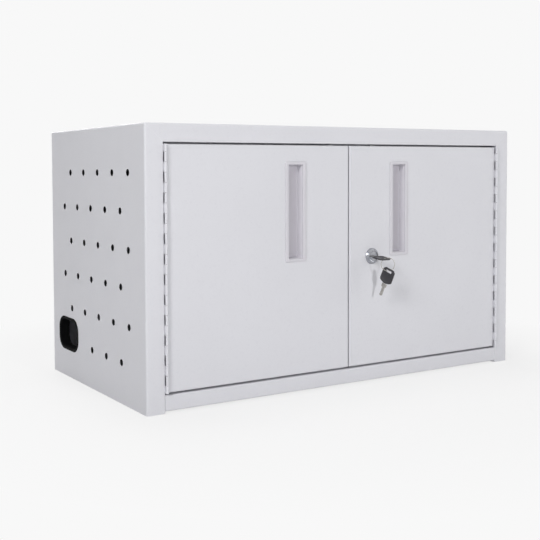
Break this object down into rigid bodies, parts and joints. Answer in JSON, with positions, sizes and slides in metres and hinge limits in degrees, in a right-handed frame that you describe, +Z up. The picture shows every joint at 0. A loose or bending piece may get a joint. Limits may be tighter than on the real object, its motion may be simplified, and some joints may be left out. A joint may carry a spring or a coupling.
{
  "type": "tablet charging box",
  "caption": "Low steel cabinet with a pair of locking doors on continuous hinges, recessed pulls, vented sides and a cable outlet, holding a divider rack and a charging hub for tablets.",
  "frame": {"origin": "middle of the cabinet's footprint, on the plane its side panels stand on", "axes": "+X to the right as seen from the front, +Y to the back, +Z up"},
  "size_m": [0.7008, 0.3945, 0.4],
  "materials": {
    "body_paint": "fine powder coat, satin",
    "hinge_steel": "drawn wire",
    "pull_plastic": "moulded, satin",
    "outlet_black": "moulded, matt",
    "lock_chrome": "polished plate",
    "zinc_steel": "zinc plate",
    "guide_plastic": "moulded, matt",
    "key_nickel": "nickel plate",
    "key_plastic": "moulded, matt",
    "rack_plastic": "moulded, matt",
    "hub_plastic": "fine texture",
    "socket_steel": "plated shell",
    "board_green": "solder mask",
    "rocker_red": "moulded, gloss"
  },
  "bodies": {
    "cabinet": {"left_side_panel": "body_paint", "right_side_panel": "body_paint", "top_panel": "body_paint", "bottom_panel": "body_paint", "back_panel": "body_paint", "left_hinge_frame_leaf": "body_paint", "right_hinge_frame_leaf": "body_paint", "rear_partition": "body_paint", "left_hinge_pin": "hinge_steel", "right_hinge_pin": "hinge_steel", "cable_outlet_grommet": "outlet_black", "divider_tie_rod": "zinc_steel", "tie_rod_nuts": "zinc_steel", "inside_screws": "zinc_steel", "divider_spacers": "guide_plastic", "divider_tray": "rack_plastic", "divider_01": "rack_plastic", "divider_02": "rack_plastic", "divider_03": "rack_plastic", "divider_04": "rack_plastic", "divider_05": "rack_plastic", "divider_06": "rack_plastic", "divider_07": "rack_plastic", "divider_08": "rack_plastic", "divider_09": "rack_plastic", "divider_10": "rack_plastic", "divider_11": "rack_plastic", "divider_12": "rack_plastic", "divider_13": "rack_plastic", "hub_case": "hub_plastic", "hub_cover": "hub_plastic", "hub_cable_gland": "hub_plastic", "switch_housing": "hub_plastic", "hub_sockets": "socket_steel", "hub_circuit_board": "board_green"},
    "left_door": {"left_door_panel": "body_paint", "left_door_stiffener": "body_paint", "left_pull": "pull_plastic", "left_hinge_door_leaf": "body_paint", "left_bolt_guides": "guide_plastic"},
    "right_door": {"right_door_panel": "body_paint", "right_door_stiffener": "body_paint", "right_pull": "pull_plastic", "right_hinge_door_leaf": "body_paint", "lock_body": "lock_chrome", "lock_nut": "zinc_steel", "lock_rod_guides": "guide_plastic"},
    "plug": {"lock_plug": "lock_chrome", "lock_crank": "zinc_steel", "crank_screw": "zinc_steel"},
    "upper_rod": {"upper_lock_rod": "zinc_steel"},
    "lower_rod": {"lower_lock_rod": "zinc_steel"},
    "key": {"key_bow": "key_plastic", "key_blade": "key_nickel"},
    "ring": {"key_ring": "key_nickel"},
    "spare_key": {"spare_key_bow": "key_plastic", "spare_key_blade": "key_nickel"},
    "upper_bolt": {"left_upper_bolt": "zinc_steel"},
    "lower_bolt": {"left_lower_bolt": "zinc_steel"},
    "rocker": {"hub_rocker": "rocker_red"}
  },
  "joints": [
    {"name": "left_door_swing", "type": "hinge", "parent": "cabinet", "child": "left_door", "pos_m": [-0.3196, -0.1782, 0.2], "axis": [0, 0, -1], "range_deg": [0, 170]},
    {"name": "right_door_swing", "type": "hinge", "parent": "cabinet", "child": "right_door", "pos_m": [0.3196, -0.1782, 0.2], "axis": [0, 0, 1], "range_deg": [0, 170]},
    {"name": "key_turn", "type": "hinge", "parent": "right_door", "child": "plug", "pos_m": [0.0455, -0.175, 0.199], "axis": [0, -1, 0], "range_deg": [0, 90]},
    {"name": "upper_rod_slide", "type": "slide", "parent": "right_door", "child": "upper_rod", "axis": [0, 0, 1], "range_m": [0, 0.01698]},
    {"name": "lower_rod_slide", "type": "slide", "parent": "right_door", "child": "lower_rod", "axis": [0, 0, -1], "range_m": [0, 0.01698]},
    {"name": "key_withdraw", "type": "slide", "parent": "plug", "child": "key", "axis": [0, -1, 0], "range_m": [0, 0.03]},
    {"name": "ring_swing", "type": "hinge", "parent": "key", "child": "ring", "pos_m": [0.0494, -0.20936, 0.19594], "axis": [0.788, -0.6111, -0.075], "range_deg": [-20, 10]},
    {"name": "spare_key_swing", "type": "hinge", "parent": "ring", "child": "spare_key", "pos_m": [0.05002, -0.20763, 0.17785], "axis": [-0.9659, -0.2588, 0], "range_deg": [-8, 30]},
    {"name": "upper_bolt_slide", "type": "slide", "parent": "left_door", "child": "upper_bolt", "axis": [0, 0, 1], "range_m": [0, 0.012]},
    {"name": "lower_bolt_slide", "type": "slide", "parent": "left_door", "child": "lower_bolt", "axis": [0, 0, -1], "range_m": [0, 0.012]},
    {"name": "power_switch", "type": "hinge", "parent": "cabinet", "child": "rocker", "pos_m": [0.3215, 0.0671, 0.321], "axis": [1, 0, 0], "range_deg": [-5, 5]}
  ],
  "couplings": [
    {"joint": "upper_rod_slide", "follows": "key_turn", "m_per_rad": 0.010804},
    {"joint": "lower_rod_slide", "follows": "key_turn", "m_per_rad": 0.010804}
  ]
}
